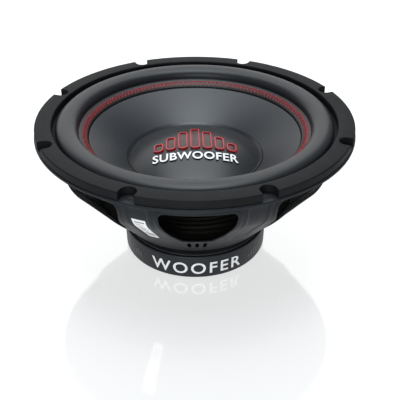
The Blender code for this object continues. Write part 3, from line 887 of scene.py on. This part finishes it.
def bar_loop(width, height, radius, inset, steps):
    """Evenly numbered loop of a rounded bar, moved inwards by inset."""
    corner = max(0.05, radius - inset)
    line = rounded_box(width - 2 * inset, height - 2 * inset, corner, steps=steps)
    dense = []
    for (x0, y0), (x1, y1) in zip(line, line[1:] + line[:1]):
        dense.append((x0, y0))
        if math.hypot(x1 - x0, y1 - y0) > 3.0 or abs(x1 - x0) < 1e-6 or abs(y1 - y0) < 1e-6:
            dense += [(x0 + (x1 - x0) * k / 8, y0 + (y1 - y0) * k / 8) for k in range(1, 8)]
    return dense


def build_emblem():
    """Seven level-meter bars with raised red rims on the dome."""
    points, faces, indices = [], [], []
    rings = [(0.0, -0.5, 0), (0.0, 1.45, 0), (0.3, 1.8, 0), (1.45, 1.8, 0), (1.7, 1.5, 0), (1.8, 0.5, 0)]
    rings += [(2.6, 0.55, 1), (3.3, 0.62, 1)]
    for number, height in enumerate(BAR_HEIGHTS):
        middle = (number - len(BAR_HEIGHTS) // 2) * BAR_PITCH
        loops = []
        for inset, lift, _ in rings:
            loop = bar_loop(BAR_WIDTH, height, BAR_CORNER, inset, 5)
            loops.append([len(points) + k for k in range(len(loop))])
            for x, y in loop:
                px, py = x + middle, y + BAR_FOOT_Y + height / 2
                points.append((px, py, dome_z(math.hypot(px, py)) + lift))
        for (_, _, field), here, there in zip(rings[1:], loops, loops[1:]):
            for k in range(len(here)):
                after = (k + 1) % len(here)
                faces.append((here[k], here[after], there[after], there[k]))
                indices.append(field)
        faces.append(tuple(loops[-1]))
        indices.append(1)
        faces.append(tuple(reversed(loops[0])))
        indices.append(0)
    emblem = make_piece("cap_emblem_bars", points, faces, [EMBLEM_RED, EMBLEM_FIELD], 30.0, indices)
    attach(emblem, "cone_assembly")


def word_mesh(text, width, height, thickness, weight, cut_every, spacing):
    """Flat raised lettering in bmesh, centred across and standing on y = 0, cut into strips across."""
    curve = bpy.data.curves.new("word", "FONT")
    curve.body = text
    curve.size = 10.0
    curve.extrude = 0.5
    curve.offset = weight
    curve.resolution_u = 6
    curve.space_character = spacing
    holder = bpy.data.objects.new("word", curve)
    bpy.context.scene.collection.objects.link(holder)
    bpy.context.view_layer.update()
    mesh = bpy.data.meshes.new_from_object(holder.evaluated_get(bpy.context.evaluated_depsgraph_get()))
    bpy.data.objects.remove(holder, do_unlink=True)
    bpy.data.curves.remove(curve)
    bm = bmesh.new()
    bm.from_mesh(mesh)
    bpy.data.meshes.remove(mesh)
    bmesh.ops.remove_doubles(bm, verts=bm.verts, dist=1e-5)
    points = np.array([v.co for v in bm.verts])
    low, high = points.min(0), points.max(0)
    for vert in bm.verts:
        vert.co.x = ((vert.co.x - low[0]) / (high[0] - low[0]) - 0.5) * width
        vert.co.y = (vert.co.y - low[1]) / (high[1] - low[1]) * height
        vert.co.z = (vert.co.z - low[2]) / (high[2] - low[2]) * thickness
    for i in range(1, int(width / cut_every)):
        where = Vector((-width / 2 + i * cut_every, 0, 0))
        geometry = bm.verts[:] + bm.edges[:] + bm.faces[:]
        bmesh.ops.bisect_plane(bm, geom=geometry, dist=1e-4, plane_co=where, plane_no=(1, 0, 0))
    return bm


def build_cap_word():
    bm = word_mesh("SUBWOOFER", 85.0, 11.0, 1.8, 0.22, 3.0, 1.08)
    for vert in bm.verts:
        x = vert.co.x
        y = WORD_FOOT_Y + vert.co.y * (1 + 0.10 * (x / 42.0) ** 2)
        vert.co = Vector((x, y, dome_z(math.hypot(x, y)) - 0.5 + vert.co.z))
    word = piece_from(bm, "cap_word", WHITE, ADHESIVE_AND_PAINTED_SHADE)
    # Side faces of the raised letters get the near-black material: painted shade under the letters.
    for face in word.data.polygons:
        if face.normal.z < 0.5:
            face.material_index = 1
    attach(word, "cone_assembly")


def build_stitching():
    """Two rows of lock stitches and the zigzag between them, on the surround's glued lip."""

    def on_lip(r, azimuth, lift):
        return Vector(turned_points(r, azimuth, cone_top(r, GLUE_GAP + FOAM + lift)))

    step = 2 * math.pi / STITCHES
    shape = ((-0.37, -0.35), (-0.32, 0.14), (-0.18, 0.32), (0.18, 0.34), (0.32, 0.16), (0.37, -0.35))
    outer_r, inner_r = STITCH_ROW_R
    legs = ((outer_r - 0.3, -3.0, 0.12, 0.38), (inner_r + 0.3, 3.0, 0.52, 0.42))
    outer, inner, cross = [], [], []
    for i in range(STITCHES):
        a = i * step + rng.uniform(-0.04, 0.04) * step
        outer.append([on_lip(outer_r - 0.5 * t, a + t * step, lift) for t, lift in shape])
        b = a + 0.5 * step
        inner.append([on_lip(inner_r + 0.4 * t, b + t * step * 0.9, lift * 0.8) for t, lift in shape])
        for start_r, reach, first, share in legs:
            path = []
            for t in (0.0, 0.15, 0.5, 0.85, 1.0):
                lift = 0.22 * math.sin(math.pi * t) + 0.02
                path.append(on_lip(start_r + reach * t, a + (first + share * t) * step, lift))
            cross.append(path)
    sides = 8
    for name, paths, radius, material in (
        ("stitch_row_outer", outer, 0.44, THREAD),
        ("stitch_row_inner", inner, 0.34, THREAD_DIM),
        ("stitch_zigzag", cross, 0.32, THREAD),
    ):
        points, faces = tube_mesh(paths, radius, sides)
        row = make_piece(name, points, faces, [material], 60.0)
        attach(row, "cone_assembly")


def build_coil():
    former = lathe("coil_former", [(25.3, 22.5), (25.8, 22.5), (25.8, 79.0), (25.3, 79.0)], FORMER, 192)
    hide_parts("voice_coil_former")
    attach(former, "cone_assembly")
    for layer, name in enumerate(("voice_coil_inner", "voice_coil_outer")):
        r = NECK_R + layer * COIL_LAYER
        outline = [(r, COIL_RUN[1]), (r, COIL_RUN[0])]
        pitch = (COIL_RUN[1] - COIL_RUN[0]) / COIL_TURNS
        for i in range(COIL_TURNS):
            z = COIL_RUN[0] + i * pitch
            outline += [(r + 0.42, z + 0.02), (r + 0.6, z + pitch * 0.5), (r + 0.42, z + pitch * 0.98)]
        coil = lathe(f"{name}_wire", outline, COPPER, 160, 60.0)
        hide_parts(name)
        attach(coil, "cone_assembly")


def build_spider():
    land = 65.7
    waves = 9
    low_r, high_r = 31.0, 92.0
    line = [(27.4, land + 0.2), (29.0, land)]
    samples = waves * 10
    for i in range(samples + 1):
        t = i / samples
        swell = min(1.0, 5 * t, 5 * (1 - t) + 0.15)
        height = land + 2.1 * swell * math.sin(2 * math.pi * waves * t)
        line.append((low_r + (high_r - low_r) * t, height))
    line += [(94.0, land), (100.5, land)]
    outline = [(NECK_R, land - 2.4), (26.8, land - 2.3), *line]
    outline += [(r, z + 0.7) for r, z in reversed(line)]
    outline += [(26.9, land + 2.5), (NECK_R, land + 2.6)]
    spider = lathe("spider_cloth_ring", outline, CLOTH, STEPS, 70.0)
    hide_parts("spider")
    bend_with_cone(spider)


build_surround()
build_cone()
build_dust_cap()
build_emblem()
build_cap_word()
build_stitching()
build_coil()
build_spider()


# -------- motor


def build_motor():
    boot = [
        (BOOT_BORE_R, 0.0, 0.3),
        (BOOT_FOOT_R, 0.0, BOOT_ROUNDING),
        (BOOT_R, BOOT_TOP, 1.5),
        (BOOT_R - BOOT_SHEET, BOOT_TOP, 0.4),
        (BOOT_R - BOOT_SHEET, BOOT_FLOOR, 0.4),
        (BOOT_BORE_R, BOOT_FLOOR, 0.3),
    ]
    magnet = [(32.0, 9.8, 0.6), (MAGNET_R, 9.8, 1.0), (MAGNET_R, 27.9, 1.0), (32.0, 27.9, 0.6)]
    plate = [(28.4, 28.2, 0.3), (PLATE_R, 28.2, 0.6), (PLATE_R, PLATE_TOP, 0.6), (28.4, PLATE_TOP, 0.4)]
    yoke = [
        (9.0, 2.0, 0.4),
        (PLATE_R, 2.0, 0.6),
        (PLATE_R, 9.5, 0.6),
        (24.4, 9.5, 0.8),
        (24.4, PLATE_TOP, 0.6),
        (11.0, PLATE_TOP, 0.4),
        (9.0, 34.2, 0.4),
    ]
    for name, corners, material, node, slot in (
        ("boot_shell", boot, RUBBER, "magnet_boot", "boot_rubber"),
        ("magnet_ring", magnet, FERRITE, "magnet", "ferrite"),
        ("front_plate", plate, STEEL, "top_plate", "motor_steel"),
        ("yoke_and_pole", yoke, STEEL, "t_yoke", "motor_steel"),
    ):
        piece = lathe(name, rounded(corners, 6), material, STEPS)
        if node == "top_plate":
            holes = bmesh.new()
            rivet_holes(holes, 29.7, 40.0)
            combine(piece, piece_from(holes, "plate_hole_tool"))
        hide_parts(node)
        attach(piece, "frame")


def boot_wrap(bm, base_z, lift):
    for vert in bm.verts:
        azimuth = vert.co.x / BOOT_R
        height = base_z + vert.co.y
        side = BOOT_FOOT_R + (BOOT_R - BOOT_FOOT_R) * height / BOOT_TOP
        vert.co = Vector(turned_points(side + lift + vert.co.z, azimuth, height))


def build_boot_print():
    bm = word_mesh("WOOFER", 96.8, 13.7, 0.35, 0.13, 2.0, 1.22)
    boot_wrap(bm, 5.9, -0.1)
    word = piece_from(bm, "boot_word", WHITE)
    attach(word, "frame")
    for name, middle in (("boot_mark_left", -54.0), ("boot_mark_right", 51.0)):
        bm = bmesh.new()
        heights = (4.0, 7.0, 10.0, 7.0)
        for i, height in enumerate(heights):
            x = math.radians(middle) * BOOT_R + (i - 1.5) * 4.2
            prism(bm, rounded_box(2.4, height, 0.5, (x, height / 2), 3), 0.0, 0.3, Matrix.Identity(4))
        boot_wrap(bm, 9.0, -0.1)
        mark = piece_from(bm, name, PRINT_FAINT)
        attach(mark, "frame")


def wall_patch(name, degrees, runs, lift, thickness, material, steps=(6, 20)):
    """Thin curved sheet on the basket's wall between two azimuths and two runs."""
    points, faces = [], []
    nu, nv = steps
    for layer in (0.0, thickness):
        for j in range(nv + 1):
            run = runs[0] + (runs[1] - runs[0]) * j / nv
            for i in range(nu + 1):
                azimuth = math.radians(degrees[0] + (degrees[1] - degrees[0]) * i / nu)
                points.append(on_wall(azimuth, run, lift + layer))
    row = nu + 1
    layer_size = row * (nv + 1)
    add_quads(faces, 0, nv + 1, row, False, True)
    add_quads(faces, layer_size, nv + 1, row, False, False)
    for j in range(nv):
        for a in (j * row, j * row + nu):
            faces.append((a, a + row, a + row + layer_size, a + layer_size))
    for i in range(nu):
        for a in (i, nv * row + i):
            faces.append((a, a + 1, a + 1 + layer_size, a + layer_size))
    piece = make_piece(name, points, faces, [material], 50.0)
    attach(piece, "frame")
    return piece


def build_label():
    low, high = [run_at(z) for z in LABEL_Z]
    floor = -PANEL_DEPTH + 0.02
    steps = (12, 40)
    sheet = wall_patch(
        "label_sheet", LABEL_DEG, (low, high), floor, LABEL_SHEET, VINYL, steps
    )
    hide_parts("data_label")
    top = floor + LABEL_SHEET
    bars = [(0.90, 0.935, -24.6, -20.4), (0.84, 0.855, -24.6, -22.4), (0.80, 0.815, -24.6, -21.4)]
    bars += [(0.42 + 0.05 * k, 0.435 + 0.05 * k, -24.4, -24.4 + 2.6 + 0.4 * (k % 3)) for k in range(7)]
    for k in range(10):
        left = -24.4 + 0.42 * k
        bars.append((0.10, 0.36, left, left + 0.16 + 0.1 * (k % 2)))
    for number, (start, end, left, right) in enumerate(bars):
        runs = (low + (high - low) * start, low + (high - low) * end)
        name = f"label_bar_{number + 1}"
        wall_patch(name, (left, right), runs, top, 0.05, PRINT_GREY, (3, 6))


build_motor()
build_boot_print()
build_label()


# -------- terminals and leads


def build_spring(colour, side):
    place = terminal_place(side)
    x = BUTTON_X[colour]
    low, high = HOUSING_FRONT - 9.9, HOUSING_FRONT - 5.1
    samples = SPRING_TURNS * 24
    path = []
    for i in range(samples + 1):
        t = i / samples
        a = 2 * math.pi * SPRING_TURNS * t
        climb = smooth_step((t - 0.1) / 0.8) * 0.3 + t * 0.7
        z = low + (high - low) * climb
        path.append(place @ Vector((x + SPRING_R * math.cos(a), SPRING_R * math.sin(a), z)))
    points, faces = tube_mesh([path], 0.3, 8)
    spring = make_piece(f"coil_spring_{colour}_{side}", points, faces, [ZINC], 60.0)
    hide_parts(f"button_spring_{colour}_{side}")
    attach(spring, "frame")
    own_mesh(spring)


def lead_route(side, x):
    """Catmull-Rom line from the solder tag over the spider to the cone's neck."""
    turn = math.radians(TERMINAL_DEG[side]) + math.atan2(x, LEAD_START_R)
    route = [terminal_place(side) @ Vector((x, 0, -8.5))]
    route += [Vector(turned_points(r, turn, z)) for r, z in LEAD_ROUTE]
    padded = [2 * route[0] - route[1], *route, 2 * route[-1] - route[-2]]
    line = []
    for a, b, c, d in zip(padded, padded[1:], padded[2:], padded[3:]):
        for i in range(16):
            t = i / 16
            even = 2 * b + (c - a) * t + (2 * a - 5 * b + 4 * c - d) * t**2
            line.append((even + (3 * b - a - 3 * c + d) * t**3) / 2)
    return [*line, route[-1]]


def build_lead(colour, side):
    line = lead_route(side, BUTTON_X[colour])
    strands = []
    for strand in range(STRANDS):
        path = []
        walked = 0.0
        before = line[0]
        for here, across, other in carried(line):
            walked += (here - before).length
            before = here
            a = 2 * math.pi * (walked / LAY_LENGTH + strand / STRANDS)
            path.append(here + across * (LAY_R * math.cos(a)) + other * (LAY_R * math.sin(a)))
        strands.append(path)
    points, faces = tube_mesh(strands, STRAND_R, 6)
    lead = make_piece(f"braided_lead_{colour}_{side}", points, faces, [BRAID], 60.0)
    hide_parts(f"tinsel_lead_{colour}_{side}")
    bend_with_cone(lead)


for side in TERMINAL_DEG:
    for colour in ("red", "black"):
        build_spring(colour, side)
        build_lead(colour, side)

CAD_FINISHES = {
    "terminal_housing": (BLACK, 0.5, "black_plastic"),
    "button_red": (RED, 0.45, "red_plastic"),
    "button_black": (BLACK, 0.45, "black_plastic"),
    "solder_tag": (ZINC, 0.15, "bright_metal"),
    "terminal_rivet": (ZINC, 0.2, "bright_metal"),
    "plate_rivet": (ZINC, 0.3, "bright_metal"),
    "vent_screen": (STEEL, 0.12, "bright_metal"),
}
for name, node in NODES.items():
    if node.hide_render:
        continue
    for prefix, (material, width, slot) in CAD_FINISHES.items():
        if name.startswith(prefix):
            node.data.materials.clear()
            node.data.materials.append(material)
            soften(node, width)


# -------- studio


def flat_card(name, half_width, half_height, place, turn, glow):
    """White card that gives off a little light of its own."""
    mesh = bpy.data.meshes.new(name)
    x, y = half_width, half_height
    mesh.from_pydata([(-x, -y, 0), (x, -y, 0), (x, y, 0), (-x, y, 0)], [], [(0, 1, 2, 3)])
    material = bpy.data.materials.new(name)
    material.use_nodes = True
    shader = material.node_tree.nodes["Principled BSDF"]
    shader.inputs["Base Color"].default_value = (0.88, 0.88, 0.88, 1)
    shader.inputs["Emission Color"].default_value = (1, 1, 1, 1)
    shader.inputs["Emission Strength"].default_value = glow
    mesh.materials.append(material)
    card = bpy.data.objects.new(name, mesh)
    card.location = place
    card.rotation_euler = turn
    bpy.context.scene.collection.objects.link(card)
    return card


def build_studio():
    floor = flat_card("studio_floor", 12.0, 12.0, (0, 0, -0.0006), (0, 0, 0), 0.68)
    shader = floor.data.materials[0].node_tree.nodes["Principled BSDF"]
    shader.inputs["Base Color"].default_value = (0.30, 0.30, 0.30, 1)
    shader.inputs["IOR"].default_value = 2.1
    shader.inputs["Roughness"].default_value = 0.07
    flat_card("studio_backdrop", 2.6, 2.2, (-1.0, 3.5, 2.3), (math.radians(90), 0, 0), 1.0)

    world = bpy.data.worlds.new("studio_air")
    bpy.context.scene.world = world
    world.use_nodes = True
    air = world.node_tree.nodes["Background"]
    air.inputs["Color"].default_value = (*LIGHT_COLOUR, 1)
    air.inputs["Strength"].default_value = 0.26

    for name, place, aim, size, power in (
        ("key_softbox", (0.0, -0.15, 1.5), (0, 0, 0.1), 0.7, 11.0),
        ("top_softbox", (0.0, 0.5, 1.6), (0, 0, 0.12), 1.2, 14.0),
        ("front_softbox", (-0.25, -1.5, 0.40), (0, 0, 0.08), 0.9, 11.5),
    ):
        lamp = bpy.data.lights.new(name, "AREA")
        lamp.size = size
        lamp.energy = power
        lamp.color = LIGHT_COLOUR
        item = bpy.data.objects.new(name, lamp)
        item.location = place
        item.rotation_euler = (Vector(aim) - Vector(place)).to_track_quat("-Z", "Y").to_euler()
        bpy.context.scene.collection.objects.link(item)

    camera = bpy.data.cameras.new("camera")
    camera.lens = 62.897
    camera.sensor_width = 36.0
    camera.clip_end = 50.0
    item = bpy.data.objects.new("camera", camera)
    item.location = (-0.01177, -0.62882, 0.45405)
    item.rotation_euler = [math.radians(a) for a in (57.0424, -0.0524, -1.5132)]
    bpy.context.scene.collection.objects.link(item)
    bpy.context.scene.camera = item
    bpy.context.scene.view_settings.view_transform = "Standard"


build_studio()
